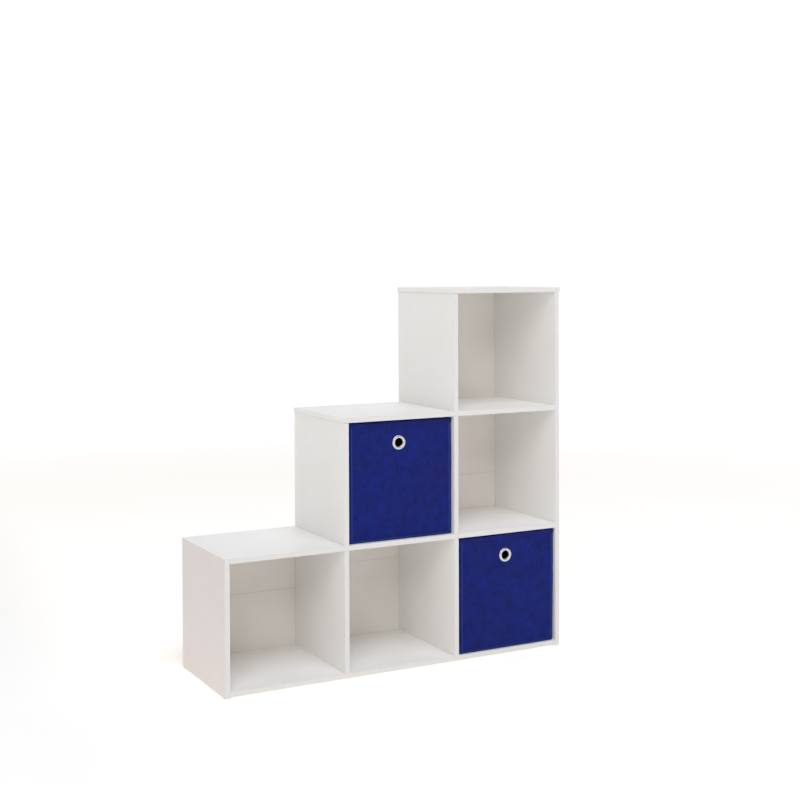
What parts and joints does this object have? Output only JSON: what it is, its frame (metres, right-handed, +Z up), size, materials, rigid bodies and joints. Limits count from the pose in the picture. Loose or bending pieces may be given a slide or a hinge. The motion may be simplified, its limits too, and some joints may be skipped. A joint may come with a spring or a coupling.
{
  "type": "staircase bookshelf",
  "caption": "Free-standing staircase bookshelf: white open cubbies stepping up to the right, with pull-out blue fabric boxes that have an eyelet pull.",
  "frame": {"origin": "centre of the bounding box in plan, at the height of the ground that the glides stand on", "axes": "+X to the right seen from the front, towards the tall column; +Y from the front to the back; +Z up"},
  "size_m": [0.9176, 0.2984, 0.928],
  "materials": {
    "white_panel": "satin white melamine on chipboard",
    "white_back_board": "white faced hardboard",
    "joining_tape": "matt gummed tape",
    "zinc_fitting": "zinc plated",
    "glide_plastic": "moulded",
    "blue_fabric": "non-woven polypropylene",
    "box_card": "grey board",
    "eyelet_metal": "nickel plated"
  },
  "bodies": {
    "carcass": {"bottom_panel": "white_panel", "lower_shelf": "white_panel", "upper_shelf": "white_panel", "top_panel": "white_panel", "left_side": "white_panel", "right_side": "white_panel", "lower_left_divider": "white_panel", "lower_right_divider": "white_panel", "step_side": "white_panel", "middle_divider": "white_panel", "tower_side": "white_panel", "step_back_1": "white_back_board", "step_back_2": "white_back_board", "step_back_tape_1": "joining_tape", "main_back_1": "white_back_board", "main_back_2": "white_back_board", "main_back_3": "white_back_board", "main_back_tape_1": "joining_tape", "main_back_tape_2": "joining_tape", "tower_back": "white_back_board", "cam_bottom_left_front": "zinc_fitting", "cam_bottom_left_rear": "zinc_fitting", "cam_bottom_right_front": "zinc_fitting", "cam_bottom_right_rear": "zinc_fitting", "cam_lower_shelf_left_front": "zinc_fitting", "cam_lower_shelf_left_rear": "zinc_fitting", "cam_lower_shelf_right_front": "zinc_fitting", "cam_lower_shelf_right_rear": "zinc_fitting", "cam_upper_shelf_right_front": "zinc_fitting", "cam_upper_shelf_right_rear": "zinc_fitting", "cam_step_side_front": "zinc_fitting", "cam_step_side_rear": "zinc_fitting", "cam_tower_side_front": "zinc_fitting", "cam_tower_side_rear": "zinc_fitting", "cam_right_side_front": "zinc_fitting", "cam_right_side_rear": "zinc_fitting", "glide_left_front": "glide_plastic", "glide_left_rear": "glide_plastic", "glide_right_front": "glide_plastic", "glide_right_rear": "glide_plastic"},
    "upper_box": {"upper_box_cover": "blue_fabric", "upper_box_front_card": "box_card", "upper_box_back_card": "box_card", "upper_box_left_card": "box_card", "upper_box_right_card": "box_card", "upper_box_hem": "blue_fabric", "upper_box_eyelet": "eyelet_metal", "upper_box_eyelet_washer": "eyelet_metal"},
    "lower_box": {"lower_box_cover": "blue_fabric", "lower_box_front_card": "box_card", "lower_box_back_card": "box_card", "lower_box_left_card": "box_card", "lower_box_right_card": "box_card", "lower_box_hem": "blue_fabric", "lower_box_eyelet": "eyelet_metal", "lower_box_eyelet_washer": "eyelet_metal"},
    "upper_insert": {"upper_box_base_insert": "blue_fabric"},
    "lower_insert": {"lower_box_base_insert": "blue_fabric"}
  },
  "joints": [
    {"name": "upper_box_slide", "type": "slide", "parent": "carcass", "child": "upper_box", "axis": [0, -1, 0], "range_m": [0, 0.3]},
    {"name": "lower_box_slide", "type": "slide", "parent": "carcass", "child": "lower_box", "axis": [0, -1, 0], "range_m": [0, 0.3]},
    {"name": "upper_insert_lift", "type": "slide", "parent": "upper_box", "child": "upper_insert", "axis": [0, 0, 1], "range_m": [0, 0.285]},
    {"name": "lower_insert_lift", "type": "slide", "parent": "lower_box", "child": "lower_insert", "axis": [0, 0, 1], "range_m": [0, 0.285]}
  ]
}
